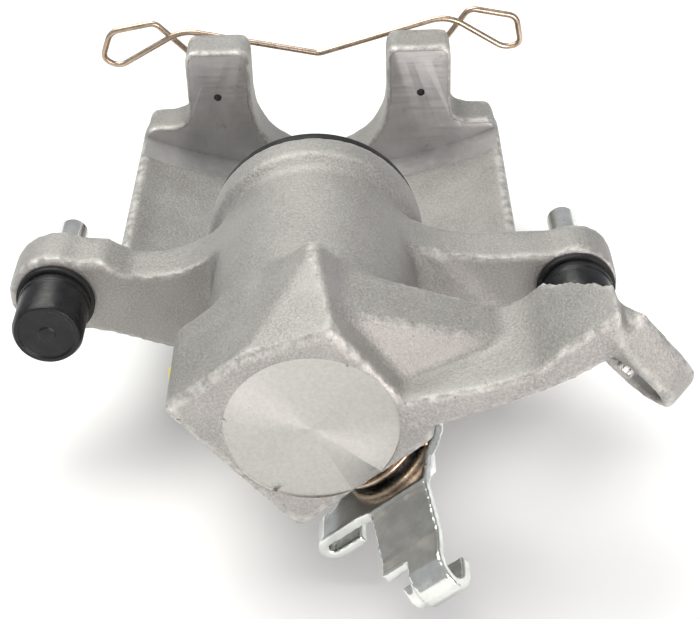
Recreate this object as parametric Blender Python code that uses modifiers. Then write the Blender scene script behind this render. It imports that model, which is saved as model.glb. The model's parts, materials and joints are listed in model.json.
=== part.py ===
# Rear floating brake caliper with a built-in parking brake.
#
# Axes: +Y is the piston's axis and points outboard, towards the disc and the fingers.
# +Z points towards the wheel's axle, +X runs along the disc's edge.
# The origin is on the piston's axis, in the plane of the housing's mouth.
import math

import bmesh
import bpy
from mathutils import Matrix, Vector

MM = 0.001
GAP = 0.3

# Driving dimensions, in millimetres and degrees.
PISTON_R = 17.7
BORE_R = PISTON_R + GAP
BORE_DEPTH = 44.0
COLLAR_R = 27.5
BARREL_R = 24.8
OPENING = 70.0
FINGER_THICKNESS = 14.0
BRIDGE_HALF_WIDTH = 53.5
DISC_CLEARANCE_R = 128.0
PIN_SPACING = 128.6
PIN_Z = -2.0
PIN_R = 4.75
EAR_R_LEFT = 11.8
EAR_R_RIGHT = 10.4
EAR_FRONT_Y = -26.3
EAR_BACK_Y = -13.5
BLOCK_FRONT_Y = -83.6
BLOCK_BACK_Y = -54.0
BLOCK_TURN = 39.0
SHAFT_Y = -66.0
SHAFT_R = 7.7
LEVER_THICKNESS = 2.6

PART = "brake_caliper"
UP = Matrix.Rotation(math.radians(90), 4, "X")
ALONG_Y = Matrix.Rotation(math.radians(-90), 4, "X")
# Lever frame: x along the block's lower side, y with the piston, z away from the lever.
LEVER_FRAME = Matrix.Translation((0, SHAFT_Y * MM, 0)) @ Matrix.Rotation(math.radians(-BLOCK_TURN), 4, "Y")


# ---------------------------------------------------------------- scene and materials

for old in list(bpy.data.objects):
    bpy.data.objects.remove(old, do_unlink=True)


def new_collection(name):
    group = bpy.data.collections.new(name)
    bpy.context.scene.collection.children.link(group)
    return group


parts = new_collection(PART)
cutters = new_collection("cutters")
masses = new_collection("housing_masses")
hollows = new_collection("housing_hollows")
lever_pieces = new_collection("lever_pieces")


def new_material(name, colour, roughness, metallic):
    mat = bpy.data.materials.new(name)
    mat.use_nodes = True
    shader = mat.node_tree.nodes["Principled BSDF"]
    shader.inputs["Base Color"].default_value = (*colour, 1)
    shader.inputs["Roughness"].default_value = roughness
    shader.inputs["Metallic"].default_value = metallic
    return mat


CAST = new_material("cast_aluminium", (0.46, 0.44, 0.41), 0.5, 0.8)
STEEL = new_material("turned_steel", (0.62, 0.61, 0.59), 0.3, 1.0)
ZINC = new_material("zinc_plate", (0.72, 0.73, 0.74), 0.25, 1.0)
SPRING = new_material("spring_wire", (0.38, 0.30, 0.22), 0.35, 1.0)
RUBBER = new_material("black_rubber", (0.015, 0.015, 0.016), 0.6, 0.0)
PLASTIC = new_material("black_plastic", (0.02, 0.02, 0.022), 0.35, 0.0)
YELLOW = new_material("yellow_plastic", (0.85, 0.62, 0.02), 0.4, 0.0)
BRASS = new_material("brass", (0.72, 0.52, 0.25), 0.3, 1.0)


# ---------------------------------------------------------------- shape tools

def place(obj, matrix):
    obj.matrix_world = matrix
    return obj


def at(x=0.0, y=0.0, z=0.0):
    return Matrix.Translation((x * MM, y * MM, z * MM))


def link(obj, group, mat=None):
    group.objects.link(obj)
    if mat:
        obj.data.materials.append(mat)
    if group is not parts:
        obj.display_type = "WIRE"
        obj.hide_render = True
    return obj


def shade(obj):
    obj.data.shade_smooth()
    obj.data.set_sharp_from_angle(angle=math.radians(35))
    return obj


def mesh_object(name, bm):
    mesh = bpy.data.meshes.new(name)
    bm.to_mesh(mesh)
    bm.free()
    return bpy.data.objects.new(name, mesh)


def box(name, low, high, group, matrix=Matrix.Identity(4), mat=None):
    bm = bmesh.new()
    size = [high[i] - low[i] for i in range(3)]
    middle = [(high[i] + low[i]) / 2 for i in range(3)]
    bmesh.ops.create_cube(bm, size=1.0)
    bmesh.ops.scale(bm, vec=Vector(size) * MM, verts=bm.verts)
    bmesh.ops.translate(bm, vec=Vector(middle) * MM, verts=bm.verts)
    return place(link(mesh_object(name, bm), group, mat), matrix)


def turned(name, profile, group, matrix, mat=None, steps=32, closed=False):
    """A turned piece: profile holds (radius, height) pairs and runs down the outer side."""
    mesh = bpy.data.meshes.new(name)
    points = [(r * MM, 0, h * MM) for r, h in profile]
    edges = [(i, i + 1) for i in range(len(points) - 1)]
    if closed:
        edges.append((len(points) - 1, 0))
    mesh.from_pydata(points, edges, [])
    obj = link(bpy.data.objects.new(name, mesh), group, mat)
    screw = obj.modifiers.new("turn", "SCREW")
    screw.axis = "Z"
    screw.steps = steps
    screw.render_steps = steps
    screw.use_merge_vertices = True
    screw.merge_threshold = 0.00001
    screw.use_smooth_shade = True
    return place(obj, matrix)


def rod(name, radius, low, high, group, matrix, mat=None, steps=32, chamfer=0.0):
    """A plain turned pin from height low to high, with chamfered ends."""
    c = chamfer
    if c:
        profile = [(0, high), (radius - c, high), (radius, high - c),
                   (radius, low + c), (radius - c, low), (0, low)]
    else:
        profile = [(0, high), (radius, high), (radius, low), (0, low)]
    return turned(name, profile, group, matrix, mat, steps)


def ring(name, inner, outer, low, high, group, matrix, mat=None, steps=32, chamfer=0.0):
    """A turned ring or sleeve with chamfered outer edges."""
    c = chamfer
    if c:
        profile = [(inner, high), (outer - c, high), (outer, high - c),
                   (outer, low + c), (outer - c, low), (inner, low)]
    else:
        profile = [(inner, high), (outer, high), (outer, low), (inner, low)]
    return turned(name, profile, group, matrix, mat, steps, closed=True)


def hexagon(name, across, low, high, group, matrix, mat=None):
    bm = bmesh.new()
    radius = across / math.sqrt(3) * MM
    bmesh.ops.create_cone(bm, cap_ends=True, segments=6, radius1=radius, radius2=radius,
                          depth=(high - low) * MM)
    bmesh.ops.translate(bm, vec=(0, 0, (high + low) / 2 * MM), verts=bm.verts)
    return place(link(mesh_object(name, bm), group, mat), matrix)


def arc(cx, cy, radius, start, end, steps):
    """Points of an arc between two angles in degrees."""
    angles = [math.radians(start + (end - start) * i / steps) for i in range(steps + 1)]
    return [(cx + radius * math.cos(a), cy + radius * math.sin(a)) for a in angles]


def rounded(corners, steps=3):
    """An outline whose corners (x, y, radius) are replaced with tangent arcs."""
    points = []
    count = len(corners)
    for i, (x, y, radius) in enumerate(corners):
        here = Vector((x, y))
        if radius <= 0:
            points.append((x, y))
            continue
        before = (Vector(corners[i - 1][:2]) - here).normalized()
        after = (Vector(corners[(i + 1) % count][:2]) - here).normalized()
        half = before.angle(after) / 2
        reach = radius / math.tan(half)
        first = here + before * reach
        last = here + after * reach
        centre = here + (before + after).normalized() * (radius / math.sin(half))
        a0 = math.atan2(first.y - centre.y, first.x - centre.x)
        a1 = math.atan2(last.y - centre.y, last.x - centre.x)
        turn = (a1 - a0 + math.pi) % (2 * math.pi) - math.pi
        for k in range(steps + 1):
            a = a0 + turn * k / steps
            points.append((centre.x + radius * math.cos(a), centre.y + radius * math.sin(a)))
    return points


def bezier(p0, p1, p2, p3, steps):
    """Points of a cubic curve, without its last point."""
    points = []
    for i in range(steps):
        t = i / steps
        w = ((1 - t) ** 3, 3 * t * (1 - t) ** 2, 3 * t * t * (1 - t), t ** 3)
        points.append(tuple(sum(w[k] * p[j] for k, p in enumerate((p0, p1, p2, p3))) for j in (0, 1)))
    return points


def band(middle, thickness):
    """The outline of a bent strip of sheet metal that follows a centre line."""
    left, right = [], []
    for i, p in enumerate(middle):
        here = Vector(p)
        back = (here - Vector(middle[i - 1])).normalized() if i else None
        ahead = (Vector(middle[i + 1]) - here).normalized() if i + 1 < len(middle) else None
        along = ((back or ahead) + (ahead or back)).normalized()
        side = Vector((-along.y, along.x))
        stretch = 1 / max(0.5, side.dot(Vector((-(ahead or back).y, (ahead or back).x))))
        left.append(tuple(here + side * thickness / 2 * stretch))
        right.append(tuple(here - side * thickness / 2 * stretch))
    return left + right[::-1]


def curve_to_mesh(curve_obj, name, group, mat):
    """Turns a curve object into a welded mesh object in the same place."""
    bpy.context.scene.collection.objects.link(curve_obj)
    bpy.context.view_layer.update()
    evaluated = curve_obj.evaluated_get(bpy.context.evaluated_depsgraph_get())
    mesh = bpy.data.meshes.new_from_object(evaluated)
    bm = bmesh.new()
    bm.from_mesh(mesh)
    bmesh.ops.remove_doubles(bm, verts=bm.verts, dist=0.000001)
    bmesh.ops.recalc_face_normals(bm, faces=bm.faces)
    bm.to_mesh(mesh)
    bm.free()
    mesh.materials.clear()
    matrix = curve_obj.matrix_world.copy()
    bpy.data.objects.remove(curve_obj, do_unlink=True)
    return place(link(bpy.data.objects.new(name, mesh), group, mat), matrix)


def plate(name, outline, low, high, group, matrix, mat=None):
    """A flat outline made solid between two heights of its own frame."""
    curve = bpy.data.curves.new(name, "CURVE")
    curve.dimensions = "2D"
    curve.fill_mode = "BOTH"
    curve.extrude = (high - low) / 2 * MM
    spline = curve.splines.new("POLY")
    spline.points.add(len(outline) - 1)
    for point, (x, y) in zip(spline.points, outline):
        point.co = (x * MM, y * MM, 0, 1)
    spline.use_cyclic_u = True
    obj = bpy.data.objects.new(name, curve)
    obj.matrix_world = matrix @ at(z=(high + low) / 2)
    return curve_to_mesh(obj, name, group, mat)


def across_y(name, outline, y_low, y_high, group, mat=None):
    """An (x, z) outline made solid from y_low to y_high."""
    return plate(name, outline, -y_high, -y_low, group, UP, mat)


def wire(name, points, radius, group, matrix, mat=None, resolution=2):
    """A round wire through a list of points, with closed ends."""
    curve = bpy.data.curves.new(name, "CURVE")
    curve.dimensions = "3D"
    curve.bevel_depth = radius * MM
    curve.bevel_resolution = resolution
    curve.use_fill_caps = True
    spline = curve.splines.new("POLY")
    spline.points.add(len(points) - 1)
    for point, co in zip(spline.points, points):
        point.co = (*(Vector(co) * MM), 1)
    obj = bpy.data.objects.new(name, curve)
    obj.matrix_world = matrix
    return curve_to_mesh(obj, name, group, mat)


def helix(radius, low, high, turns, per_turn=14, start=0.0):
    """Points of a coil around local z."""
    count = round(turns * per_turn)
    points = []
    for i in range(count + 1):
        a = math.radians(start) + 2 * math.pi * turns * i / count
        points.append((radius * math.cos(a), radius * math.sin(a), low + (high - low) * i / count))
    return points


def boolean(target, tool, operation):
    """Unites or cuts a target with one object or with a whole collection."""
    modifier = target.modifiers.new(operation.lower(), "BOOLEAN")
    modifier.operation = operation
    modifier.solver = "EXACT"
    if isinstance(tool, bpy.types.Collection):
        modifier.operand_type = "COLLECTION"
        modifier.collection = tool
    else:
        modifier.object = tool
    return target


# ---------------------------------------------------------------- housing casting

def arm_frame():
    """Frame of the cable eye: x away from the arm, z along the cable, away from the lever."""
    tilt = Matrix.Rotation(math.radians(-BLOCK_TURN), 4, "Y")
    cable = tilt @ Vector((0.87, 0.49, 0)).normalized()
    down = tilt @ Vector((0, 0, -1))
    side = cable.cross(down)
    centre = tilt @ Vector((59, 0, -39))
    frame = Matrix((down, side, cable)).transposed().to_4x4()
    return Matrix.Translation(Vector((centre.x, -77, centre.z)) * MM) @ frame


PORT_Y = -61.5
PORT_SIDE = 15.5
BLEED_X = -10.0
BLEED_Y = -34.0
BLEED_FRAME = at(BLEED_X, BLEED_Y, 0) @ Matrix.Rotation(math.radians(180), 4, "X")
PORT_FRAME = (Matrix.Rotation(math.radians(-BLOCK_TURN), 4, "Y") @ at(0, PORT_Y, PORT_SIDE)
              @ Matrix.Rotation(math.radians(-90), 4, "Y"))
EYE_FRAME = arm_frame()
EYE_HOLE_R = 7.0
EYE_THICKNESS = 9.5


def mirrored(half):
    """A closed outline from its right half, listed from the top middle to the bottom middle."""
    return half + [(-x, z) for x, z in reversed(half) if x > 0.01]


def wing_outline():
    """Both guide ears and the necks that carry them, as one outline."""
    top = bezier((20.6, 13.8), (25, 9.5), (33, 6.8), (46, 6.6), 8) + [(46, 6.6), (52, 6.9)]
    right = top + arc(PIN_SPACING / 2, PIN_Z, EAR_R_RIGHT, 122, -122, 14)
    top = bezier((20.6, 13.8), (26, 7.0), (34, 2.2), (45.4, 3.9), 8) + [(45.4, 3.9), (52.3, 7.9)]
    left = top + arc(PIN_SPACING / 2, PIN_Z, EAR_R_LEFT, 118, -122, 14)
    under = [(52, -13.2), (46, -15.2), (37, -18), (24, -21), (12, -21)]
    return right + under + [(-x, z) for x, z in reversed(left + under)]


def bridge_z(x, radius, lowest):
    """Height of the bridge's curved surface at x."""
    return lowest + radius - math.sqrt(radius * radius - x * x)


def bridge_outline():
    half = BRIDGE_HALF_WIDTH
    xs = [half * i / 7 for i in range(8)]
    inner = [(x, bridge_z(x, DISC_CLEARANCE_R, -20)) for x in xs[:-1]]
    inner.append((half - 1.5, bridge_z(half, DISC_CLEARANCE_R, -20)))
    outer = [(half, bridge_z(half, DISC_CLEARANCE_R, -20) - 1.5)]
    outer += [(half, -17.5), (half - 3.5, -20.5)]
    outer += [(x, bridge_z(x, 134, -31.5)) for x in reversed(xs[:-1])]
    return mirrored(inner + outer)


def finger_outline():
    half = BRIDGE_HALF_WIDTH
    gap = arc(0, 0.6, 20, -90, 0, 8)
    ends = rounded([(20, 10, 0), (20, 17.6, 3), (38.9, 17.6, 2.5), (38.9, -6.5, 5),
                    (51.5, -6.5, 2.5), (half, -14, 0), (half, -17.5, 0), (half - 3.5, -20.5, 0)])
    outer = [(x, bridge_z(x, 134, -31.5)) for x in (46, 38, 30, 22, 14, 7, 0)]
    return mirrored(gap + ends + outer)


def arm_outline():
    top = bezier((12, 5.8), (24, 8.6), (42, 10.8), (48.5, 15.2), 8)
    top += bezier((48.5, 15.2), (53, 19.8), (59, 25.0), (66, 29.0), 5)
    under = bezier((65.5, 19.0), (58, 11.5), (46, 6.4), (12, -4.5), 9)
    return top + [(66, 29.0)] + under + [(12, -4.5)]


def housing_mass():
    """The solid lumps of the casting, united into one."""
    barrel_profile = [(0, 0.6), (COLLAR_R - 0.8, 0.6), (COLLAR_R, -0.8), (COLLAR_R, -8.5),
                      (BARREL_R, -11.5), (BARREL_R + 0.5, -60), (0, -60)]
    housing = turned("housing", barrel_profile, parts, ALONG_Y, CAST, steps=44)
    across_y("wings", wing_outline(), EAR_FRONT_Y, EAR_BACK_Y, masses)
    across_y("bridge", bridge_outline(), -16, OPENING + 6, masses)
    across_y("fingers", finger_outline(), OPENING, OPENING + FINGER_THICKNESS, masses)
    block = rounded([(-21.2, -19.8, 0.8), (20.0, -19.8, 2.5), (21.5, 24.0, 2.2), (-21.2, 25.5, 2.0)])
    tilt = Matrix.Rotation(math.radians(-BLOCK_TURN), 4, "Y")
    lump = plate("block", block, -BLOCK_BACK_Y, -BLOCK_FRONT_Y, masses, tilt @ UP)
    facet = (at(-13.9, BLOCK_FRONT_Y, 20.4) @ Matrix.Rotation(math.radians(-17.2), 4, "Y")
             @ Matrix.Rotation(math.radians(15), 4, "X"))
    boolean(lump, box("block_facet", (-50, -50, 0), (50, 50, 30), cutters, facet), "DIFFERENCE")
    arm = across_y("arm", arm_outline(), -84.0, -55.0, masses)
    boolean(arm, box("arm_corner", (-60, 0, -30), (60, 40, 40), cutters,
                     at(52, -55.0, 0) @ Matrix.Rotation(math.radians(-50), 4, "Z")), "DIFFERENCE")
    gusset = across_y("gusset", [(6, 25.3), (45, 12.0), (30, 4.0), (6, -2)], -82.0, -56.0, masses)
    boolean(gusset, box("gusset_face", (-40, -40, -30), (60, 0, 40), cutters,
                        at(20.2, -76.9, 7.4) @ Matrix.Rotation(math.radians(15.7), 4, "Z")
                        @ Matrix.Rotation(math.radians(-18), 4, "X")), "DIFFERENCE")
    eye = [(-16, -10.0)] + arc(0, 0, 10.0, -90, 90, 12) + [(-16, 10.0)]
    plate("eye", eye, 0, EYE_THICKNESS, masses, EYE_FRAME)
    ear_web = rounded([(22, 10, 0), (30, 9.0, 0), (44.5, -8.5, 0), (36, -17, 0), (22, -18, 0)])
    across_y("ear_web", ear_web, EAR_FRONT_Y - 0.9, EAR_FRONT_Y + 4, masses)
    rod("side_boss", 4.2, 0, BARREL_R + 2.6, masses,
        at(0, -25, 3) @ Matrix.Rotation(math.radians(90), 4, "Y"), steps=16, chamfer=0.8)
    rod("bleed_boss", 6.5, 18, 33.5, masses, BLEED_FRAME, steps=20)
    boolean(housing, masses, "UNION")
    return housing


def shaft_hole(name, radius, low, high):
    """A bore along the lever's axis; heights are measured towards the lever."""
    return rod(name, radius, -high, -low, hollows, LEVER_FRAME)


def housing_hollow():
    """Everything bored, drilled or milled out of the casting."""
    bore = [(0, 4), (27.4, 4), (27.4, 0), (23.6, 0), (23.6, -2.6), (BORE_R, -2.6), (BORE_R, -8.4),
            (21.0, -8.4), (21.0, -12.0), (BORE_R, -12.0), (BORE_R, -BORE_DEPTH),
            (12.5, -BORE_DEPTH), (12.5, -48.0), (13.6, -48.0), (13.6, -49.6), (12.5, -49.6),
            (12.5, -52.0), (6.1, -52.0), (6.1, -62.0), (0, -62.0)]
    turned("bore", bore, hollows, ALONG_Y, steps=36)
    shaft_hole("shaft_bore", SHAFT_R + GAP, -16, 30)
    shaft_hole("seal_seat", 10.5, 15.6, 30)
    box("lever_clearance", (-17, -40, -40), (17, 14.5, -20.1), hollows, LEVER_FRAME)
    for side in (-1, 1):
        rod(f"pin_bore_{side}", 8.2, EAR_FRONT_Y - 3, EAR_BACK_Y + 3, hollows,
            at(side * PIN_SPACING / 2, 0, PIN_Z) @ ALONG_Y, steps=28)
        rod(f"finger_hole_{side}", 1.1, OPENING - 1, OPENING + FINGER_THICKNESS + 1, hollows,
            at(side * 30, 0, 3.1) @ ALONG_Y, steps=10)
    rod("eye_hole", EYE_HOLE_R, -2, EYE_THICKNESS + 2, hollows, EYE_FRAME, steps=24)
    rod("machined_face", 19.4, -BLOCK_FRONT_Y - 0.4, -BLOCK_FRONT_Y + 2, hollows,
        Matrix.Rotation(math.radians(90), 4, "X"), steps=40)
    rod("port", 4.7, 10.5, 30, hollows, PORT_FRAME, steps=20)
    rod("port_seat", 6.4, 20.4, 30, hollows, PORT_FRAME, steps=20)
    rod("port_drilling", 1.5, 40, -PORT_Y, hollows,
        LEVER_FRAME @ at(-12.0, -SHAFT_Y, PORT_SIDE) @ UP, steps=12)
    turned("bleed_hole", [(0, 40), (3.8, 40), (3.8, 21), (1.5, 19), (1.5, 15), (0, 15)],
           hollows, BLEED_FRAME, steps=16)
    rod("disc_band", 122.3, 58, OPENING, hollows, at(0, 0, 101.5) @ ALONG_Y, steps=120)


def build_housing():
    housing = housing_mass()
    housing_hollow()
    boolean(housing, hollows, "DIFFERENCE")
    return housing


# ---------------------------------------------------------------- hydraulic pieces

def build_piston():
    wall = 13.0
    profile = [(0, 0.2), (9.5, 0.2), (9.5, 3.0), (PISTON_R - 0.8, 3.0), (PISTON_R, 2.2),
               (PISTON_R, 0.6), (PISTON_R - 1.6, 0.6), (PISTON_R - 1.6, -1.8), (PISTON_R, -1.8),
               (PISTON_R, -42.5), (PISTON_R - 0.8, -43.4), (wall, -43.4),
               (wall, -28.9), (13.9, -28.9), (13.9, -27.6), (wall, -27.6), (wall, -10.0),
               (8.6, -5.0), (0, -5.0)]
    piston = turned("piston", profile, parts, ALONG_Y, STEEL, steps=36)
    for i in range(2):
        boolean(piston, box(f"piston_slot_{i}", (-13.5, -2.2, 1.2), (13.5, 2.2, 6), cutters,
                            ALONG_Y @ Matrix.Rotation(math.radians(90 * i), 4, "Z")), "DIFFERENCE")


def build_seals():
    ring("piston_seal", PISTON_R + GAP, 20.7, -11.7, -8.7, parts, ALONG_Y, RUBBER, steps=36)
    boot = [(23.2, 2.9), (26.6, 2.9), (26.6, 0.3), (23.3, 0.3), (23.3, -2.2), (21.9, -2.2),
            (21.9, 0.9), (21.1, 1.3), (20.3, 0.9), (20.3, -1.3), (18.2, -1.3), (16.5, -1.3),
            (16.5, -0.1), (19.1, -0.1), (19.1, 1.7), (20.6, 2.6), (22.0, 2.2)]
    turned("dust_boot", boot, parts, ALONG_Y, RUBBER, steps=36, closed=True)


def build_port_and_bleed():
    plug = [(0, 26.0), (5.0, 26.0), (6.0, 25.0), (6.0, 20.8), (4.3, 20.8), (4.3, 14), (0, 14)]
    turned("inlet_plug", plug, parts, PORT_FRAME, YELLOW, steps=20)
    screw = [(0, 43), (1.9, 43), (2.6, 42), (2.0, 40.4), (2.0, 39.4), (3.4, 39.0), (3.4, 34.2),
             (3.4, 21.5), (1.2, 19.6), (0, 19.6)]
    bleeder = turned("bleed_screw", screw, parts, BLEED_FRAME, STEEL, steps=16)
    boolean(bleeder, hexagon("bleed_hex", 9, 34.2, 37.6, cutters, BLEED_FRAME), "UNION")
    cap = [(0, 45.2), (3.4, 45.2), (4.1, 44.4), (4.1, 38.2), (3.7, 38.2), (3.7, 39.3), (3.0, 40.0),
           (3.0, 43.4), (0, 43.4)]
    turned("bleed_cap", cap, parts, BLEED_FRAME, RUBBER, steps=16)


# ---------------------------------------------------------------- guide pins and bushes

def build_guides():
    for side, hand in ((-1, "left"), (1, "right")):
        here = at(side * PIN_SPACING / 2, 0, PIN_Z) @ ALONG_Y
        bush = [(5.1, EAR_BACK_Y + 1.0), (7.4, EAR_BACK_Y + 1.0), (7.9, EAR_BACK_Y + 0.4),
                (7.9, EAR_FRONT_Y - GAP), (9.7, EAR_FRONT_Y - GAP), (9.7, EAR_FRONT_Y - 2.0),
                (5.1, EAR_FRONT_Y - 2.0)]
        turned(f"guide_bush_{hand}", bush, parts, here, RUBBER, steps=28, closed=True)
        cap = [(0, -41.0), (7.5, -41.0), (7.5, EAR_FRONT_Y - 2.3), (8.9, EAR_FRONT_Y - 2.3),
               (8.9, -41.4), (7.9, -42.4), (0, -42.4)]
        turned(f"dust_cap_{hand}", cap, parts, here, PLASTIC, steps=28)
        pin = [(0, 6.0), (3.0, 6.0), (3.75, 5.0), (3.75, -7.0), (PIN_R, -7.6), (PIN_R, -37.4),
               (PIN_R - 0.6, -38.0), (0, -38.0)]
        guide = turned(f"guide_pin_{hand}", pin, parts, here, ZINC, steps=24)
        boolean(guide, hexagon(f"pin_socket_{hand}", 5.5, -45, -32, cutters, here), "DIFFERENCE")


# ---------------------------------------------------------------- parking brake mechanism

def build_shaft():
    """The cross shaft: bearing journal, cam pocket, hexagon for the lever and stud for its nut."""
    profile = [(0, -36.8), (3.6, -36.8), (4.0, -36.2), (4.0, -28.7), (5.4, -28.7), (5.4, -24.8),
               (7.6, -24.2), (SHAFT_R, -23.6), (SHAFT_R, 14.6), (SHAFT_R - 1, 15.6), (0, 15.6)]
    shaft = turned("lever_shaft", profile[::-1], parts, LEVER_FRAME, STEEL, steps=28)
    boolean(shaft, box("cam_pocket", (-7.0, 2.5, -3.4), (7.0, 12, 3.4), cutters, LEVER_FRAME),
            "DIFFERENCE")


def turn_axis(u, v, w):
    """Frame in the lever's frame whose columns are the given directions."""
    return LEVER_FRAME @ Matrix((u, v, w)).transposed().to_4x4()


HUB_LOW = 25.7


def build_lever():
    """The stamped lever: hub, joggled arm, rolled cable hook and folded lug."""
    mid = HUB_LOW + LEVER_THICKNESS / 2
    hub = arc(0, 0, 15.5, -40, 205, 16)
    lobe = rounded([(-19.5, -9.0, 1.5), (-19.5, -17.6, 2.0), (-9.5, -17.6, 1.5), (-5.5, -18.6, 0)])
    lever = plate("lever", hub + lobe + [(10.5, -18.6)], -HUB_LOW - LEVER_THICKNESS, -HUB_LOW,
                  parts, LEVER_FRAME, ZINC)
    sheet = LEVER_THICKNESS - 0.1
    side_on = turn_axis(Vector((0, 1, 0)), Vector((0, 0, 1)), Vector((1, 0, 0)))
    front_on = turn_axis(Vector((1, 0, 0)), Vector((0, 0, 1)), Vector((0, -1, 0)))
    arm = [(-13, -mid), (-17.5, -mid), (-31.5, -mid - 3.8), (-36, -mid - 3.8)]
    hook = arm[2:] + arc(-38.4, -mid - 8.2, 4.4, 90, 270, 8) + [(-33.0, -mid - 12.6)]
    seat = arc(-38.4, -mid - 8.2, 3.6, 120, 270, 6) + [(-34.0, -mid - 11.8)]
    fold = [(-12, -mid)] + arc(-19.0, -mid - 2.5, 2.5, 90, 270, 6) + [(-12.0, -mid - 5.0)]
    plate("lever_arm", band(arm, sheet), -5.4, 10.4, lever_pieces, side_on)
    plate("lever_hook", band(hook, sheet), 1.6, 10.3, lever_pieces, side_on)
    plate("lever_seat", band(seat, sheet - 0.3), -1.2, 3.0, lever_pieces, side_on)
    plate("lever_fold", band(fold, sheet), 9.1, 17.5, lever_pieces, front_on)
    boolean(lever, lever_pieces, "UNION")
    boolean(lever, rod("lever_eye", 5.7, -32, -20, cutters, LEVER_FRAME, steps=24), "DIFFERENCE")


def build_lever_fittings():
    ring("shaft_bush", SHAFT_R + GAP, 10.2, -19.2, -15.9, parts, LEVER_FRAME, BRASS, steps=28)
    ring("shaft_seal", SHAFT_R + GAP, 9.6, -22.0, -19.5, parts, LEVER_FRAME, RUBBER, steps=28)
    ring("lever_washer", 4.3, 8.5, -30.2, -28.9, parts, LEVER_FRAME, ZINC, steps=24)
    nut = hexagon("lever_nut", 13, -36.2, -30.5, parts, LEVER_FRAME, ZINC)
    boolean(nut, rod("nut_bore", 4.3, -40, -26, cutters, LEVER_FRAME, steps=20), "DIFFERENCE")
    rod("stop_pin", 2.0, -24.6, -12.0, parts, LEVER_FRAME @ at(-17.2, 4.0, 0), STEEL, steps=12,
        chamfer=0.4)
    rod("stop_pin_hole", 2.3, -26, -11.6, hollows, LEVER_FRAME @ at(-17.2, 4.0, 0), steps=12)
    coil = helix(12.0, -21.4, -24.3, 1.5, 16, start=196)
    lead_in = [(-14.6, 10.0, -21.4), (-14.2, 4.0, -21.4)]
    hook = [(12.4, 1.0, -24.3), (12.2, -9.0, -24.3)]
    wire("return_spring", lead_in + coil + hook, 0.9, parts, LEVER_FRAME, SPRING)


def build_adjuster():
    rod("pushrod", 2.2, -63.2, -57.4, parts, ALONG_Y, STEEL, steps=14, chamfer=0.5)
    spindle = [(0, -12.4), (3.8, -12.4), (4.5, -13.2), (4.5, -48.6), (10.0, -48.6), (10.0, -51.2),
               (5.8, -51.2), (5.8, -53.2), (4.4, -53.2), (4.4, -56.0), (5.8, -56.0), (5.8, -57.0),
               (0, -57.0)]
    turned("adjuster_spindle", spindle, parts, ALONG_Y, STEEL, steps=24)
    ring("spindle_seal", 4.7, 5.8, -55.7, -53.5, parts, ALONG_Y, RUBBER, steps=24)
    ring("thrust_washer", 4.8, 9.4, -48.3, -47.4, parts, ALONG_Y, STEEL, steps=24)
    cage = [(6.4, -38.0), (11.0, -38.0), (11.0, -49.8), (12.2, -49.8), (12.2, -50.8),
            (10.3, -50.8), (10.3, -38.7), (6.4, -38.7)]
    turned("spring_cage", cage, parts, ALONG_Y, ZINC, steps=28, closed=True)
    split_ring("cage_ring", 11.4, 13.3, -49.4, -48.2, ZINC)
    wire("cage_spring", helix(7.6, -44.9, -39.8, 3, 12), 0.7, parts, ALONG_Y, SPRING)
    nut = [(4.8, -8.2), (9.6, -8.2), (12.2, -11.2), (12.2, -14.0), (8.0, -14.0), (8.0, -36.0),
           (4.8, -36.0)]
    turned("adjuster_nut", nut, parts, ALONG_Y, STEEL, steps=28, closed=True)
    ring("nut_bearing", 8.3, 12.2, -16.6, -14.3, parts, ALONG_Y, STEEL, steps=28)
    wire("clutch_spring", helix(10.4, -17.7, -24.9, 3, 14), 0.8, parts, ALONG_Y, SPRING)
    ring("spring_seat", 8.4, 12.6, -27.0, -26.1, parts, ALONG_Y, ZINC, steps=28)
    split_ring("piston_ring", 11.0, 13.6, -28.6, -27.9, SPRING)


def split_ring(name, inner, outer, low, high, mat):
    """A snap ring: flat, with a gap between its ends."""
    start, end = 18, 342
    outline = arc(0, 0, outer, start, end, 26) + arc(0, 0, inner, end, start, 26)
    plate(name, outline, low, high, parts, ALONG_Y, mat)


# ---------------------------------------------------------------- pad spring

def build_pad_spring():
    """The outer pad's wire spring, bent from one length and clipped behind the fingers."""
    right = [(2, 10.3, 0), (38.5, 20.6, 8), (55.5, 9.8, 4), (60.6, 10.8, 2.5), (59.0, 19.8, 3),
             (45.0, 22.6, 2.5), (36.5, 10.0, 0)]
    left = [(-2, 10.1, 0), (-40.5, 18.0, 8), (-60.4, 6.8, 4), (-65.2, 9.6, 3), (-62.0, 18.2, 4),
            (-48.5, 20.6, 2.5), (-37.5, 8.0, 0)]
    y = OPENING + FINGER_THICKNESS + 1.2
    points = []
    for side in (left, right):
        loop = rounded([(0, 9.4, 0)] + side)
        last = len(loop) - 1
        depth = [y + 2.1 * max(0.0, (i - last + 10) / 10) for i in range(last + 1)]
        half = [(x, d, z) for (x, z), d in zip(loop, depth)]
        points = half[:0:-1] if side is left else points + half
    wire("pad_spring", points, 0.9, parts, Matrix.Identity(4), SPRING)


build_housing()
build_piston()
build_seals()
build_port_and_bleed()
build_guides()
build_shaft()
build_lever()
build_lever_fittings()
build_adjuster()
build_pad_spring()

for obj in parts.objects:
    shade(obj)
bpy.context.view_layer.update()
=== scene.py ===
import json
import math

import bmesh
import bpy
import numpy as np
from mathutils import Matrix, Vector

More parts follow.
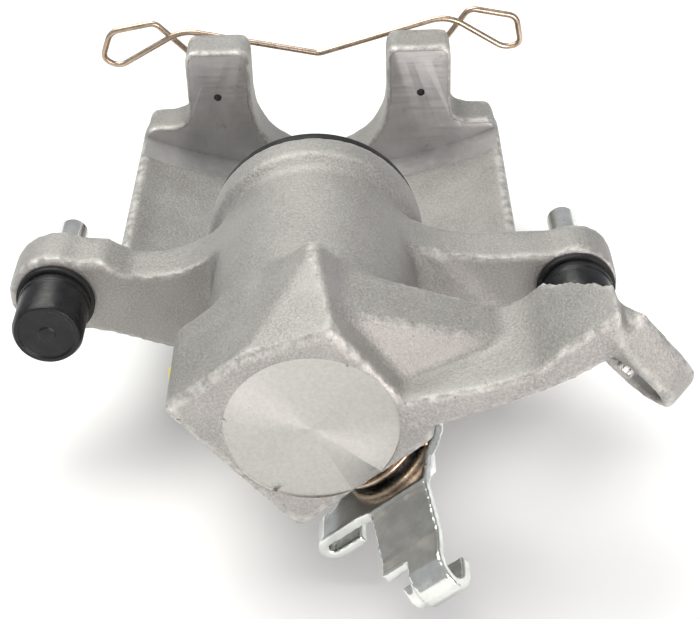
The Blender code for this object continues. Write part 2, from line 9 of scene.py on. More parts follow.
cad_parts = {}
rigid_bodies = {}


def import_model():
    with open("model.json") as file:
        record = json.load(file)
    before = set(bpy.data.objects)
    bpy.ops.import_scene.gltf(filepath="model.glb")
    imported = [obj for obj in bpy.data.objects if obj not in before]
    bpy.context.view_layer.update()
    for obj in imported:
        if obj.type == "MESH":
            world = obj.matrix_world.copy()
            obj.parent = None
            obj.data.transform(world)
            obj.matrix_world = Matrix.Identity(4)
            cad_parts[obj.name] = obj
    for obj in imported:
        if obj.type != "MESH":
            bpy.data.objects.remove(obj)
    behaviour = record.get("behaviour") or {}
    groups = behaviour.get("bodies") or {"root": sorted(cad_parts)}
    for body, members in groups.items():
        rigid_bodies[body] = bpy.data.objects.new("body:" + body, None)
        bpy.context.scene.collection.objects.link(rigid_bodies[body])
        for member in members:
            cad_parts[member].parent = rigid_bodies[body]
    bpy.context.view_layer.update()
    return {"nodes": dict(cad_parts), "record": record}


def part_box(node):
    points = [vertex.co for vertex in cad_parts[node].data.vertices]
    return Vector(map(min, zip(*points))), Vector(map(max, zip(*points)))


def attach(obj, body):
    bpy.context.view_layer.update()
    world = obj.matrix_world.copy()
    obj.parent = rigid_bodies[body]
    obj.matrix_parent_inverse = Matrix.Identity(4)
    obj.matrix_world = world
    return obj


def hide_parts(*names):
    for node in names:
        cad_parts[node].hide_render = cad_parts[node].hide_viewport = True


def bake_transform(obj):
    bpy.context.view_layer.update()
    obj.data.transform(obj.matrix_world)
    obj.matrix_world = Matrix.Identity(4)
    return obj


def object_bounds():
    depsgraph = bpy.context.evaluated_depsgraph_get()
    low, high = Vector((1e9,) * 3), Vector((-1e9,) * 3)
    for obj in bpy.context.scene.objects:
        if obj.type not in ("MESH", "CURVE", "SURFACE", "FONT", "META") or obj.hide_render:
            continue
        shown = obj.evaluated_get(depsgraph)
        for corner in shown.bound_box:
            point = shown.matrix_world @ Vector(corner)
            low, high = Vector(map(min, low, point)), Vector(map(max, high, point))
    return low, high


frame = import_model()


# ---------------------------------------------------------------- housing casting
# One aluminium casting, poured in sand and shot-blasted, so its edges are round and its skin is grainy.
# The bore, the mouth, the pin bores, the fingers, the cable's eye and the round end face are machined
# after that, which leaves crisp rims and turned or milled marks.

MM = 0.001


def finish(name, metallic, roughness):
    """A new material: its tree, its shader, and a socket with the piece's own coordinates."""
    material = bpy.data.materials.new(name)
    material.use_nodes = True
    tree = material.node_tree
    shader = tree.nodes["Principled BSDF"]
    shader.inputs["Metallic"].default_value = metallic
    shader.inputs["Roughness"].default_value = roughness
    coords = tree.nodes.new("ShaderNodeTexCoord").outputs["Object"]
    return material, tree, shader, coords


def add(tree, kind, sockets, **settings):
    """A node with its sockets set to values or linked to other sockets."""
    node = tree.nodes.new(kind)
    for key, value in settings.items():
        setattr(node, key, value)
    for key, value in sockets.items():
        if isinstance(value, bpy.types.NodeSocket):
            tree.links.new(value, node.inputs[key])
        else:
            node.inputs[key].default_value = value
    return node


def noise(tree, coords, scale, detail=3.0, roughness=0.55):
    """Noise from 0 to 1 with about `scale` lumps in a metre."""
    node = add(tree, "ShaderNodeTexNoise",
               {"Vector": coords, "Scale": scale, "Detail": detail, "Roughness": roughness})
    return node.outputs["Fac"]


def spread(tree, value, low, high, out_low=0.0, out_high=1.0):
    """Stretches a value between two limits to the range that is wanted."""
    node = add(tree, "ShaderNodeMapRange", {"Value": value, "From Min": low, "From Max": high,
                                            "To Min": out_low, "To Max": out_high})
    return node.outputs["Result"]


def product(tree, a, b):
    """One value times another."""
    return add(tree, "ShaderNodeMath", {0: a, 1: b}, operation="MULTIPLY").outputs[0]


def tint(tree, factor, a, b):
    """A colour between a and b."""
    node = add(tree, "ShaderNodeMix", {0: factor, 6: a, 7: b}, data_type="RGBA")
    return node.outputs[2]


def relief(tree, shader, height, depth, strength=1.0):
    """Bumps of a given depth in metres."""
    node = add(tree, "ShaderNodeBump", {"Height": height, "Distance": depth, "Strength": strength})
    tree.links.new(node.outputs["Normal"], shader.inputs["Normal"])


def cast_finish():
    """Shot-blasted casting skin: sandy grain, cloudy tone, bright worn edges that also carry a painted
    highlight, with dirt nicks.
    """
    material, tree, shader, coords = finish("cast_skin", 0.55, 0.5)
    clouds = spread(tree, noise(tree, coords, 70, 4), 0.32, 0.68)
    grain = noise(tree, coords, 1900, 3, 0.65)
    colour = tint(tree, clouds, (0.250, 0.240, 0.228, 1), (0.315, 0.304, 0.288, 1))
    colour = tint(tree, spread(tree, grain, 0.42, 0.66, 0.0, 0.7), colour, (0.44, 0.428, 0.405, 1))
    edge = add(tree, "ShaderNodeAttribute", {}, attribute_name="edge").outputs["Fac"]
    patches = spread(tree, noise(tree, coords, 420, 4), 0.36, 0.6)
    # Convex edges lightened in patches: partly worn edges, partly a painted highlight along the rounded
    # edges.
    rubbed_and_highlit = product(tree, spread(tree, edge, 0.17, 0.5), patches)
    colour = tint(tree, product(tree, rubbed_and_highlit, 0.75), colour, (0.74, 0.72, 0.68, 1))
    nicks = spread(tree, noise(tree, coords, 650, 5, 0.7), 0.63, 0.69)
    colour = tint(tree, product(tree, nicks, spread(tree, edge, 0.05, 0.5, 0.25, 0.95)), colour,
                  (0.07, 0.063, 0.056, 1))
    tree.links.new(colour, shader.inputs["Base Color"])
    rough = spread(tree, grain, 0.3, 0.7, 0.42, 0.62)
    tree.links.new(rough, shader.inputs["Roughness"])
    relief(tree, shader, noise(tree, coords, 1150, 4, 0.7), 0.0003, 0.8)
    return material


def turned_finish(name, low, high, rough, pitch, rim=None):
    """A lathe-turned face: fine rings round the y axis, whose shine fans out from the middle."""
    material, tree, shader, coords = finish(name, 0.85, rough)
    rings = add(tree, "ShaderNodeTexWave", {"Vector": coords, "Scale": 2 * math.pi / (20 * pitch),
                                            "Distortion": 1.5, "Detail": 2.0, "Detail Scale": 0.4},
                wave_type="RINGS", rings_direction="Y").outputs["Fac"]
    speckle = spread(tree, noise(tree, coords, 1100, 5, 0.7), 0.2, 0.85)
    colour = tint(tree, speckle, low, high)
    pits = spread(tree, noise(tree, coords, 2600, 2), 0.66, 0.74)
    colour = tint(tree, product(tree, pits, 0.6), colour, (0.16, 0.15, 0.14, 1))
    around = add(tree, "ShaderNodeVectorMath", {0: (0, 1, 0), 1: coords}, operation="CROSS_PRODUCT")
    if rim:
        length = add(tree, "ShaderNodeVectorMath", {0: around.outputs[0]}, operation="LENGTH")
        distance = length.outputs["Value"]
        chatter = product(tree, spread(tree, distance, rim * 0.86, rim * 0.97),
                          spread(tree, noise(tree, coords, 330, 5, 0.75), 0.60, 0.68))
        colour = tint(tree, chatter, colour, (0.13, 0.12, 0.115, 1))
    tree.links.new(colour, shader.inputs["Base Color"])
    shader.inputs["Anisotropic"].default_value = 0.8
    along = add(tree, "ShaderNodeVectorMath", {0: around.outputs[0]}, operation="NORMALIZE")
    tree.links.new(along.outputs[0], shader.inputs["Tangent"])
    relief(tree, shader, rings, 0.00002, 0.35)
    return material


def milled_finish():
    """The milled faces of the fingers and the disc's clearance: faint lines that run across."""
    material, tree, shader, coords = finish("milled_face", 0.75, 0.38)
    stretched = add(tree, "ShaderNodeMapping", {"Vector": coords, "Scale": (0.06, 1, 1)}).outputs[0]
    lines = noise(tree, stretched, 1600, 3, 0.6)
    patches = spread(tree, noise(tree, coords, 110, 4), 0.3, 0.7)
    colour = tint(tree, patches, (0.41, 0.40, 0.395, 1), (0.56, 0.545, 0.54, 1))
    colour = tint(tree, spread(tree, lines, 0.4, 0.7, 0.0, 0.25), colour, (0.60, 0.585, 0.57, 1))
    smears = product(tree, spread(tree, noise(tree, coords, 240, 5, 0.7), 0.6, 0.7), 0.35)
    colour = tint(tree, smears, colour, (0.2, 0.19, 0.185, 1))
    tree.links.new(colour, shader.inputs["Base Color"])
    tree.links.new(spread(tree, lines, 0.3, 0.7, 0.3, 0.5), shader.inputs["Roughness"])
    relief(tree, shader, lines, 0.00003, 0.3)
    return material


def merged_copy(node):
    """A welded copy of a CAD node's mesh."""
    bm = bmesh.new()
    bm.from_mesh(frame["nodes"][node].data)
    bmesh.ops.remove_doubles(bm, verts=bm.verts, dist=0.000002)
    mesh = bpy.data.meshes.new(node + "_copy")
    bm.to_mesh(mesh)
    bm.free()
    mesh.materials.clear()
    obj = bpy.data.objects.new(node + "_copy", mesh)
    bpy.context.scene.collection.objects.link(obj)
    return obj


def settled(obj, name):
    """The object with its modifiers made part of a plain mesh."""
    bpy.context.view_layer.update()
    evaluated = obj.evaluated_get(bpy.context.evaluated_depsgraph_get())
    mesh = bpy.data.meshes.new_from_object(evaluated)
    bpy.data.objects.remove(obj, do_unlink=True)
    mesh.name = name
    plain = bpy.data.objects.new(name, mesh)
    bpy.context.scene.collection.objects.link(plain)
    return plain


IRON_PASSES = 16


def rounded_skin(obj, name, voxel, passes):
    """Rounds every edge of a solid, as a mould or a press would, with an even mesh."""
    # A pass that shrinks is followed by one that swells, so steps go and the size stays.
    remesh = obj.modifiers.new("skin", "REMESH")
    remesh.mode = "VOXEL"
    remesh.voxel_size = voxel
    for factor in (0.6, -0.62) * IRON_PASSES:
        iron = obj.modifiers.new("iron", "SMOOTH")
        iron.factor = factor
        iron.iterations = 1
    smooth = obj.modifiers.new("round", "SMOOTH")
    smooth.factor = 0.5
    smooth.iterations = passes
    return settled(obj, name)


def mark_edges(obj, voxel):
    """Writes how sharply each point stands proud of its neighbours, for worn edges that also carry a
    painted highlight.
    """
    mesh = obj.data
    count = len(mesh.vertices)
    places = np.empty(count * 3)
    mesh.vertices.foreach_get("co", places)
    places = places.reshape(-1, 3)
    normals = np.empty(count * 3)
    mesh.vertex_normals.foreach_get("vector", normals)
    normals = normals.reshape(-1, 3)
    ends = np.empty(len(mesh.edges) * 2, dtype=np.int64)
    mesh.edges.foreach_get("vertices", ends)
    a, b = ends.reshape(-1, 2).T
    degree = np.bincount(a, minlength=count) + np.bincount(b, minlength=count)
    offset = np.zeros((count, 3))
    np.add.at(offset, a, places[b] - places[a])
    np.add.at(offset, b, places[a] - places[b])
    proud = -(offset / degree[:, None] * normals).sum(axis=1) / voxel * 5
    for _ in range(5):
        total = np.zeros(count)
        np.add.at(total, a, proud[b])
        np.add.at(total, b, proud[a])
        proud = (proud + total / degree) / 2
    attribute = mesh.attributes.new("edge", "FLOAT", "POINT")
    attribute.data.foreach_set("value", np.clip(proud, 0, 1).astype(np.float32))


def soften(obj):
    """Smooth shading, with edges over 38 degrees kept crisp."""
    obj.data.shade_smooth()
    obj.data.set_sharp_from_angle(angle=math.radians(38))


def lathe(name, profile, matrix, material, steps=64, round_edge=0.0):
    """A turned solid: (radius, height) points in millimetres from axis to axis, or a closed ring."""
    bm = bmesh.new()
    points = [bm.verts.new((r * MM, 0, h * MM)) for r, h in profile]
    pairs = list(zip(points, points[1:]))
    if profile[0][0] > 0:
        pairs.append((points[-1], points[0]))
    edges = [bm.edges.new(pair) for pair in pairs]
    bmesh.ops.spin(bm, geom=points + edges, cent=(0, 0, 0), axis=(0, 0, 1), angle=2 * math.pi,
                   steps=steps, use_duplicate=False)
    bmesh.ops.remove_doubles(bm, verts=bm.verts, dist=0.000001)
    bmesh.ops.dissolve_degenerate(bm, edges=bm.edges, dist=0.0000005)
    bmesh.ops.recalc_face_normals(bm, faces=bm.faces)
    if round_edge:
        sharp = [e for e in bm.edges if len(e.link_faces) == 2 and e.calc_face_angle(0) > 0.5]
        bmesh.ops.bevel(bm, geom=sharp, offset=round_edge * MM, segments=3, profile=0.5,
                        affect="EDGES", clamp_overlap=True)
    bmesh.ops.transform(bm, matrix=matrix, verts=bm.verts)
    mesh = bpy.data.meshes.new(name)
    bm.to_mesh(mesh)
    bm.free()
    mesh.materials.append(material)
    obj = bpy.data.objects.new(name, mesh)
    bpy.context.scene.collection.objects.link(obj)
    soften(obj)
    return obj


def at(x=0.0, y=0.0, z=0.0):
    """A shift given in millimetres."""
    return Matrix.Translation((x * MM, y * MM, z * MM))


def middle(node):
    """The middle of a CAD node's box, in millimetres."""
    low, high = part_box(node)
    return [(low[i] + high[i]) / 2 / MM for i in range(3)]


ALONG_Y = Matrix.Rotation(math.radians(-90), 4, "X")
BLOCK_TURN = 39.0
SHAFT_Y = -66.0
PORT_Y = -61.5
PORT_SIDE = 15.5
LEVER_FRAME = at(0, SHAFT_Y, 0) @ Matrix.Rotation(math.radians(-BLOCK_TURN), 4, "Y")
PORT_FRAME = (Matrix.Rotation(math.radians(-BLOCK_TURN), 4, "Y") @ at(0, PORT_Y, PORT_SIDE)
              @ Matrix.Rotation(math.radians(-90), 4, "Y"))
BLEED_FRAME = at(middle("bleed_screw")[0], middle("bleed_screw")[1]) @ Matrix.Rotation(math.pi, 4, "X")
CAST_VOXEL = 1.05 * MM
END_FACE_R = 19.4
END_FACE_Y = -83.05
MOUTH_Y = 0.0
FINGER_Y = 70.15
DISC_CLEARANCE_R = 122.4
AXLE_Z = 101.5
EYE_CENTRE = (70.395, -77.0, 6.821)
EYE_CABLE = (0.677, 0.491, 0.548)

cast_skin = cast_finish()
end_face = turned_finish("turned_end_face", (0.40, 0.39, 0.37, 1), (0.53, 0.515, 0.49, 1), 0.32,
                         0.00028, END_FACE_R * MM)
bored_face = turned_finish("bored_face", (0.30, 0.295, 0.285, 1), (0.42, 0.41, 0.395, 1), 0.3, 0.0004)
milled_face = milled_finish()

machining = bpy.data.collections.new("machining")
bpy.context.scene.collection.children.link(machining)


def cut(name, profile, matrix, material, steps=64):
    """One machining cut in the casting."""
    tool = lathe(name, profile, matrix, material, steps)
    bpy.context.scene.collection.objects.unlink(tool)
    machining.objects.link(tool)


def hole(name, radius, low, high, matrix, material, steps=48):
    """A drilled or bored cut between two heights."""
    cut(name, [(0, high), (radius, high), (radius, low), (0, low)], matrix, material, steps)


MOUTH = [(0, 6), (27.45, 6), (27.45, MOUTH_Y - 0.05), (23.65, MOUTH_Y - 0.05), (23.65, -2.65),
         (18.05, -2.65), (18.05, -44.0), (0, -44.0)]
cut("mouth_and_bore", MOUTH, ALONG_Y, bored_face, 96)
hole("end_face_cut", END_FACE_R, -90, END_FACE_Y, ALONG_Y, end_face, 128)
hole("disc_clearance", DISC_CLEARANCE_R, 57.9, FINGER_Y, at(0, 0, AXLE_Z) @ ALONG_Y, milled_face, 360)
for side in ("left", "right"):
    x, _, z = middle(f"guide_pin_{side}")
    hole(f"pin_bore_{side}", 8.25, -30, -9, at(x, 0, z) @ ALONG_Y, bored_face)
    finger_x = -30 if side == "left" else 30
    hole(f"finger_hole_{side}", 1.15, 66, 90, at(finger_x, 0, 3.1) @ ALONG_Y, bored_face, 24)
eye_axis = Vector(EYE_CABLE).to_track_quat("Z", "Y").to_matrix().to_4x4()
hole("eye_hole", 7.05, -3, 13, at(*EYE_CENTRE) @ eye_axis, bored_face)
hole("inlet", 4.75, 12, 30, PORT_FRAME, bored_face)
hole("inlet_seat", 6.45, 20.4, 30, PORT_FRAME, bored_face)
hole("bleed_seat", 3.85, 24, 44, BLEED_FRAME, bored_face, 32)

housing = rounded_skin(merged_copy("housing"), "housing_casting", CAST_VOXEL, 8)
mark_edges(housing, CAST_VOXEL)
housing.data.materials.clear()
housing.data.materials.append(cast_skin)
machine = housing.modifiers.new("machine", "BOOLEAN")
machine.operation = "DIFFERENCE"
machine.solver = "EXACT"
machine.operand_type = "COLLECTION"
machine.collection = machining
machine.material_mode = "TRANSFER"
housing = settled(housing, "housing_casting")
soften(housing)
for tool in list(machining.objects):
    bpy.data.objects.remove(tool, do_unlink=True)
bpy.data.collections.remove(machining)
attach(housing, "caliper")
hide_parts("housing")


# ---------------------------------------------------------------- piston, seal and dust boot
# A turned and plated steel piston in a square rubber ring. The boot is black rubber: a ring pressed
# in the housing's mouth, and a thin skirt that grips the piston's groove.

def rubber_finish(name, low, high, rough):
    """Moulded rubber or plastic: nearly black, with dust in its pores and an uneven gloss."""
    material, tree, shader, coords = finish(name, 0.0, rough)
    shader.inputs["Specular IOR Level"].default_value = 0.3
    dust = spread(tree, noise(tree, coords, 260, 5, 0.65), 0.42, 0.75)
    tree.links.new(tint(tree, dust, low, high), shader.inputs["Base Color"])
    tree.links.new(spread(tree, noise(tree, coords, 500, 4), 0.3, 0.7, rough - 0.1, rough + 0.12),
                   shader.inputs["Roughness"])
    relief(tree, shader, noise(tree, coords, 2400, 3, 0.6), 0.00008, 0.4)
    return material


def plated_finish(name, low, high, rough, stretch):
    """Bright plated or ground steel with fine drawn scratches along one direction."""
    material, tree, shader, coords = finish(name, 1.0, rough)
    drawn = add(tree, "ShaderNodeMapping", {"Vector": coords, "Scale": stretch}).outputs[0]
    scratches = noise(tree, drawn, 1500, 4, 0.6)
    clouds = spread(tree, noise(tree, coords, 180, 4), 0.35, 0.65)
    colour = tint(tree, clouds, low, high)
    marks = spread(tree, noise(tree, coords, 900, 4, 0.7), 0.64, 0.72)
    colour = tint(tree, product(tree, marks, 0.45), colour, (0.25, 0.24, 0.23, 1))
    tree.links.new(colour, shader.inputs["Base Color"])
    tree.links.new(spread(tree, scratches, 0.3, 0.7, rough - 0.06, rough + 0.1), shader.inputs["Roughness"])
    relief(tree, shader, scratches, 0.00001, 0.25)
    return material


black_rubber = rubber_finish("black_rubber", (0.006, 0.006, 0.007, 1), (0.018, 0.018, 0.018, 1), 0.5)
turned_steel = plated_finish("turned_steel", (0.50, 0.49, 0.47, 1), (0.64, 0.63, 0.60, 1), 0.26,
                             (1, 0.05, 1))

BOOT_RING = [(23.2, 2.9), (26.6, 2.9), (26.6, 0.3), (23.3, 0.3), (23.3, -2.2), (21.8, -2.2), (21.8, 1.6)]
boot_ring = lathe("boot_ring", BOOT_RING, ALONG_Y, black_rubber, 128, 0.3)
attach(boot_ring, "caliper")
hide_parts("dust_boot")

SKIRT_OUT = (21.6, 1.75)
SKIRT_IN = (16.45, -1.25)
SKIRT_WALL = 0.75
folds = []
for i in range(25):
    t = i / 24
    folds.append((SKIRT_OUT[0] + (SKIRT_IN[0] - SKIRT_OUT[0]) * (t + 0.11 * math.sin(4 * math.pi * t)),
                  SKIRT_OUT[1] + (SKIRT_IN[1] - SKIRT_OUT[1]) * t))
under = [(r - SKIRT_WALL * 0.3, h - SKIRT_WALL) for r, h in folds]
boot_skirt = lathe("boot_skirt", folds + under[::-1], ALONG_Y, black_rubber, 128)
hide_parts("dust_boot")
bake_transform(boot_skirt)


# ---------------------------------------------------------------- inlet plug, bleed screw and its cap
# A yellow transit plug closes the fluid inlet. The bleed screw is a small turned steel screw with a
# hexagon, and a soft rubber cap keeps dirt out of its end.

def moulded_finish(name, low, high):
    """Coloured moulded plastic with a faint grain."""
    material, tree, shader, coords = finish(name, 0.0, 0.4)
    tree.links.new(tint(tree, noise(tree, coords, 300, 4), low, high), shader.inputs["Base Color"])
    relief(tree, shader, noise(tree, coords, 2000, 3), 0.00005, 0.3)
    return material


yellow_plastic = moulded_finish("yellow_plastic", (0.72, 0.50, 0.01, 1), (0.90, 0.68, 0.03, 1))
PLUG = [(0, 25.6), (2.6, 25.6), (2.8, 26.0), (5.0, 26.0), (6.0, 25.0), (6.0, 20.8), (4.3, 20.8),
        (4.3, 14), (0, 14)]
plug = lathe("transit_plug", PLUG, PORT_FRAME, yellow_plastic, 64, 0.25)
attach(plug, "caliper")
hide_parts("inlet_plug")

CAP = [(0, 45.2), (2.9, 45.2), (4.0, 44.3), (4.1, 41.0), (3.7, 40.6), (4.1, 40.2), (4.1, 38.2), (3.7, 38.2),
       (3.7, 39.3), (3.0, 40.0), (3.0, 43.4), (0, 43.4)]
bleed_cap = lathe("bleed_dust_cap", CAP, BLEED_FRAME, black_rubber, 48, 0.2)
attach(bleed_cap, "bleeder")
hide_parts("bleed_cap")


# ---------------------------------------------------------------- guide pins, bushes and dust caps
# Zinc-plated pins slide in rubber bushes pressed through the ears. A glossy moulded cap closes each
# bush on the inboard side; a shallow ring and a raised rim finish its end.

zinc_plate = plated_finish("zinc_plate", (0.62, 0.635, 0.61, 1), (0.80, 0.81, 0.78, 1), 0.17, (1, 1, 0.06))
black_plastic = rubber_finish("black_plastic", (0.005, 0.005, 0.006, 1), (0.014, 0.014, 0.015, 1), 0.32)
EAR_FRONT_Y = -26.3
EAR_BACK_Y = -13.5
BUSH = [(5.1, EAR_BACK_Y + 1.0), (7.2, EAR_BACK_Y + 1.0), (7.9, EAR_BACK_Y + 0.3), (7.9, EAR_FRONT_Y - 0.3),
        (9.7, EAR_FRONT_Y - 0.3), (9.7, EAR_FRONT_Y - 2.0), (5.1, EAR_FRONT_Y - 2.0)]
DUST_CAP = [(0, -41.0), (7.5, -41.0), (7.5, -28.6), (8.9, -28.6), (8.9, -31.0), (8.6, -31.3), (8.6, -40.9),
            (7.9, -42.4), (6.9, -42.4), (6.6, -42.0), (2.2, -42.0), (1.9, -42.3), (0, -42.3)]
PIN = [(0, 6.0), (2.9, 6.0), (3.75, 5.2), (3.75, -7.0), (4.75, -7.6), (4.75, -37.4), (4.2, -38.0),
       (3.2, -38.0), (3.1, -33.0), (0, -32.0)]
for side in ("left", "right"):
    x, _, z = middle(f"guide_pin_{side}")
    axis = at(x, 0, z) @ ALONG_Y
    for name, profile, material, slot, rounding in (
            ("bush", BUSH, black_rubber, "black_rubber", 0.3),
            ("cap", DUST_CAP, black_plastic, "black_plastic", 0.25),
            ("pin", PIN, zinc_plate, "zinc_plate", 0.3)):
        piece = lathe(f"sliding_{name}_{side}", profile, axis, material, 96, rounding)
        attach(piece, f"{side}_pin" if name == "pin" else "caliper")
        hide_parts({"bush": "guide_bush_", "cap": "dust_cap_", "pin": "guide_pin_"}[name] + side)


# ---------------------------------------------------------------- parking-brake lever
# Stamped from 2.6 mm sheet steel, then folded: a joggled arm, a rolled hook for the cable's end and a
# folded lug. Bright zinc plate, with a crease where the arm bends and edges rounded by the press.

LEVER_VOXEL = 0.42 * MM
lever = rounded_skin(merged_copy("lever"), "lever_stamping", LEVER_VOXEL, 2)
mark_edges(lever, LEVER_VOXEL)
lever.data.materials.clear()
lever.data.materials.append(zinc_plate)
soften(lever)
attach(lever, "lever_body")
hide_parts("lever")


# ---------------------------------------------------------------- wire springs
# Drawn spring wire, straw-coloured from tempering: the return spring round the lever's shaft, the pad
# spring clipped behind the fingers, and the two coils inside the adjuster.

def wire_finish():
    """Tempered spring wire: straw to brown, with an uneven gloss."""
    material, tree, shader, coords = finish("tempered_wire", 1.0, 0.3)
    tone = spread(tree, noise(tree, coords, 240, 4), 0.3, 0.7)
    colour = tint(tree, tone, (0.40, 0.30, 0.22, 1), (0.60, 0.49, 0.39, 1))
    tree.links.new(colour, shader.inputs["Base Color"])
    gloss = spread(tree, noise(tree, coords, 900, 3), 0.3, 0.7, 0.2, 0.42)
    tree.links.new(gloss, shader.inputs["Roughness"])
    relief(tree, shader, noise(tree, coords, 1400, 3), 0.00004, 0.3)
    return material


def wire_tree(name, coil):
    """Sweeps a round wire along a path, or along a coil worked out from named sizes."""
    tree = bpy.data.node_groups.new(name, "GeometryNodeTree")
    face = tree.interface
    face.new_socket("Path", in_out="INPUT", socket_type="NodeSocketGeometry")
    face.new_socket("Wire", in_out="OUTPUT", socket_type="NodeSocketGeometry")
    sizes = ["Wire Radius"] + (["Coil Radius", "Height", "Turns"] if coil else [])
    sockets = {size: face.new_socket(size, in_out="INPUT", socket_type="NodeSocketFloat") for size in sizes}
    sockets["Finish"] = face.new_socket("Finish", in_out="INPUT", socket_type="NodeSocketMaterial")
    start = tree.nodes.new("NodeGroupInput")
    end = tree.nodes.new("NodeGroupOutput")
    if coil:
        path = add(tree, "GeometryNodeCurveSpiral", {
            "Resolution": 40, "Rotations": start.outputs["Turns"], "Height": start.outputs["Height"],
            "Start Radius": start.outputs["Coil Radius"],
            "End Radius": start.outputs["Coil Radius"]}).outputs[0]
    else:
        path = add(tree, "GeometryNodeMeshToCurve", {"Mesh": start.outputs["Path"]}).outputs[0]
    ring = add(tree, "GeometryNodeCurvePrimitiveCircle",
               {"Resolution": 20, "Radius": start.outputs["Wire Radius"]}, mode="RADIUS").outputs[0]
    swept = add(tree, "GeometryNodeCurveToMesh", {"Curve": path, "Profile Curve": ring, "Fill Caps": True})
    real = add(tree, "GeometryNodeRealizeInstances", {"Geometry": swept.outputs[0]})
    painted = add(tree, "GeometryNodeSetMaterial",
                  {"Geometry": real.outputs[0], "Material": start.outputs["Finish"]})
    tree.links.new(painted.outputs[0], end.inputs[0])
    return tree, {size: socket.identifier for size, socket in sockets.items()}


def grown(name, points, tree, identifiers, values, matrix=Matrix.Identity(4)):
    """Runs a tree on a line of points and keeps the result as a plain mesh, in its place."""
    mesh = bpy.data.meshes.new(name)
    mesh.from_pydata([Vector(p) * MM for p in points], [(i, i + 1) for i in range(len(points) - 1)], [])
    obj = bpy.data.objects.new(name + "_path", mesh)
    bpy.context.scene.collection.objects.link(obj)
    modifier = obj.modifiers.new("grow", "NODES")
    modifier.node_group = tree
    for size, value in values.items():
        modifier[identifiers[size]] = value
    obj = settled(obj, name)
    bm = bmesh.new()
    bm.from_mesh(obj.data)
    bmesh.ops.transform(bm, matrix=matrix, verts=bm.verts)
    bmesh.ops.remove_doubles(bm, verts=bm.verts, dist=0.000001)
    bmesh.ops.recalc_face_normals(bm, faces=bm.faces)
    bm.to_mesh(obj.data)
    bm.free()
    soften(obj)
    return obj


def smooth_path(corners, steps=14):
    """A line through corner points, each (x, y, z, bend radius), with round bends."""
    line = []
    for i, corner in enumerate(corners):
        here = Vector(corner[:3])
        if i in (0, len(corners) - 1):
            line.append(here)
            continue
        back = Vector(corners[i - 1][:3]) - here
        ahead = Vector(corners[i + 1][:3]) - here
        reach = min(corner[3] / math.tan(back.angle(ahead) / 2), back.length * 0.48, ahead.length * 0.48)
        first = here + back.normalized() * reach
        last = here + ahead.normalized() * reach
        for k in range(steps + 1):
            t = k / steps
            line.append(first * (1 - t) ** 2 + here * 2 * t * (1 - t) + last * t * t)
    return line


tempered_wire = wire_finish()
wire, wire_sizes = wire_tree("wire_along_path", coil=False)
coil, coil_sizes = wire_tree("wire_coil", coil=True)

CLIP_Y = 85.2
CLIP_END_Y = CLIP_Y + 2.0
CLIP_RUN_Y = CLIP_Y + 0.2
# Corners of the clip as (x, z, bend radius), from the middle outwards.
RIGHT = [(0, 9.4, 5), (38.5, 20.6, 12), (55.5, 9.8, 6), (60.6, 10.8, 3.5), (59.0, 19.8, 3.5),
         (45.0, 22.6, 3.5), (36.8, 10.4, 0)]
LEFT = [(-40.5, 18.0, 12), (-60.4, 6.8, 6), (-65.2, 9.6, 4), (-62.0, 18.2, 5), (-48.5, 20.6, 3.5),
        (-37.8, 8.4, 0)]
corners = LEFT[::-1] + RIGHT
depths = [CLIP_END_Y, CLIP_RUN_Y] + [CLIP_Y] * (len(corners) - 4) + [CLIP_RUN_Y, CLIP_END_Y]
clip = [(x, y, z, bend) for (x, z, bend), y in zip(corners, depths)]
pad_spring = grown("pad_spring_wire", smooth_path(clip), wire, wire_sizes,
                   {"Wire Radius": 0.9 * MM, "Finish": tempered_wire})
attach(pad_spring, "caliper")
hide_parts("pad_spring")

RETURN_R = 12.0
RETURN_LOW = -21.4
RETURN_HIGH = -24.3
turns = []
for i in range(61):
    angle = math.radians(196) + 2 * math.pi * 1.5 * i / 60
    turns.append((RETURN_R * math.cos(angle), RETURN_R * math.sin(angle),
                  RETURN_LOW + (RETURN_HIGH - RETURN_LOW) * i / 60))
line = [(-14.6, 10.0, RETURN_LOW), (-14.2, 4.0, RETURN_LOW)] + turns
line += [(12.4, 1.0, RETURN_HIGH), (12.2, -9.0, RETURN_HIGH)]
return_spring = grown("return_spring_wire", line, wire, wire_sizes,
                      {"Wire Radius": 0.88 * MM, "Finish": tempered_wire}, LEVER_FRAME)
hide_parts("return_spring")
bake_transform(return_spring)

for node, name, body, radius, low, high, rounds, wire_r in (
        ("cage_spring", "cage_coil", "caliper", 7.6, -44.9, -39.8, 3, 0.7),
        ("clutch_spring", "clutch_coil", "piston_body", 10.4, -24.9, -17.7, 3, 0.8)):
    piece = grown(name, [(0, 0, 0), (0, 0, 1)], coil, coil_sizes, {
        "Wire Radius": wire_r * MM, "Coil Radius": radius * MM, "Height": (high - low) * MM,
        "Turns": float(rounds), "Finish": tempered_wire}, ALONG_Y @ at(z=low))
    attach(piece, body)
    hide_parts(node)


# ---------------------------------------------------------------- small turned and stamped parts
# The pieces whose plain shape is already right keep it: shaft, washer, nut, pins, seals, cage and
# snap rings. Each takes the finish of what it is made of.

brass = plated_finish("bearing_brass", (0.60, 0.42, 0.19, 1), (0.76, 0.57, 0.30, 1), 0.32, (1, 0.06, 1))
FINISHES = {"turned_steel": turned_steel, "zinc_plate": zinc_plate, "spring_wire": tempered_wire,
            "black_rubber": black_rubber, "black_plastic": black_plastic, "yellow_plastic": yellow_plastic,
            "brass": brass, "cast_aluminium": cast_skin}
for row in frame["record"]["subparts"]:
    node = frame["nodes"][row["node"]]
    if not node.hide_render:
        for place in range(len(node.material_slots)):
            node.material_slots[place].material = FINISHES[row["material_slot"]]


# ---------------------------------------------------------------- floor, light and camera
# A pale floor under the part, a wide soft light overhead, a weaker warm one low in front, and the
# camera in front and above, looking at the block and the fingers behind it.

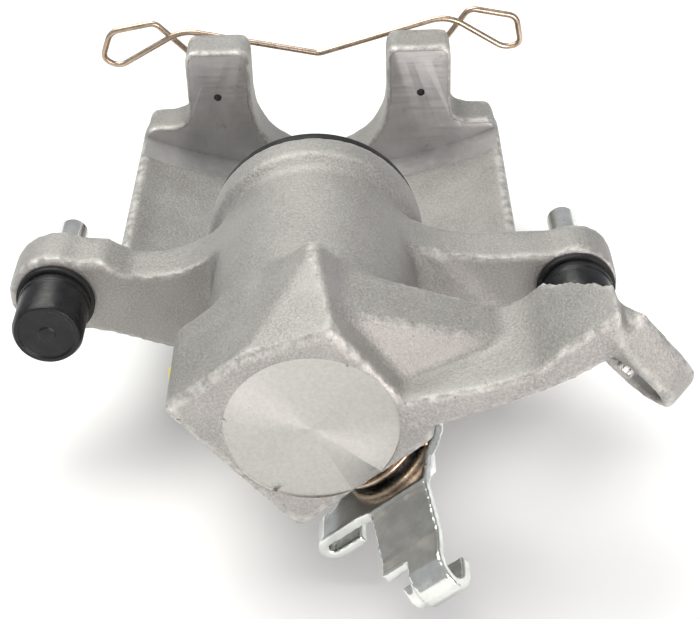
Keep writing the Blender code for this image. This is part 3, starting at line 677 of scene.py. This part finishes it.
low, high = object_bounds()
floor_mesh = bpy.data.meshes.new("floor")
reach = 4.0
floor_mesh.from_pydata([(-reach, -reach, 0), (reach, -reach, 0), (reach, reach, 0), (-reach, reach, 0)], [],
                       [(0, 1, 2, 3)])
floor = bpy.data.objects.new("floor", floor_mesh)
floor.location.z = low[2] - 2 * MM
bpy.context.scene.collection.objects.link(floor)
floor_paint, tree, shader, coords = finish("pale_floor", 0.0, 0.9)
tree.links.new(tint(tree, noise(tree, coords, 3), (0.90, 0.90, 0.90, 1), (0.93, 0.93, 0.93, 1)),
               shader.inputs["Base Color"])
floor_mesh.materials.append(floor_paint)

world = bpy.data.worlds.new("studio")
world.use_nodes = True
world.node_tree.nodes["Background"].inputs[0].default_value = (0.95, 0.97, 1.0, 1)
world.node_tree.nodes["Background"].inputs[1].default_value = 0.5
bpy.context.scene.world = world
for name, place, size, power, colour in (
        ("overhead", (-0.25, 0.25, 0.9), 0.9, 12.0, (1.0, 1.0, 0.95)),
        ("front", (0.35, -0.8, 0.15), 0.45, 6.0, (1.0, 0.93, 0.92))):
    light = bpy.data.lights.new(name, "AREA")
    light.energy = power
    light.size = size
    light.color = colour
    lamp = bpy.data.objects.new(name, light)
    lamp.location = place
    lamp.rotation_euler = (-Vector(place)).to_track_quat("-Z", "Y").to_euler()
    bpy.context.scene.collection.objects.link(lamp)
bpy.context.scene.view_settings.view_transform = "Standard"

camera_data = bpy.data.cameras.new("camera")
camera_data.sensor_width = 36
camera_data.lens = 82.29
camera_data.clip_start = 0.01
camera = bpy.data.objects.new("camera", camera_data)
bpy.context.scene.collection.objects.link(camera)
AZIMUTH = math.radians(0.831)
ELEVATION = math.radians(34.562)
ROLL = math.radians(-1.888)
DISTANCE = 0.38825
TARGET = Vector((0.008538, -0.035484, -0.001355))
back = Vector((math.sin(AZIMUTH) * math.cos(ELEVATION), -math.cos(AZIMUTH) * math.cos(ELEVATION),
               math.sin(ELEVATION)))
level = (-back).cross(Vector((0, 0, 1))).normalized()
upright = level.cross(-back)
across = math.cos(ROLL) * level + math.sin(ROLL) * upright
above = -math.sin(ROLL) * level + math.cos(ROLL) * upright
view = Matrix((across, above, back)).transposed().to_4x4()
view.translation = TARGET + back * DISTANCE
camera.matrix_world = view
bpy.context.scene.camera = camera
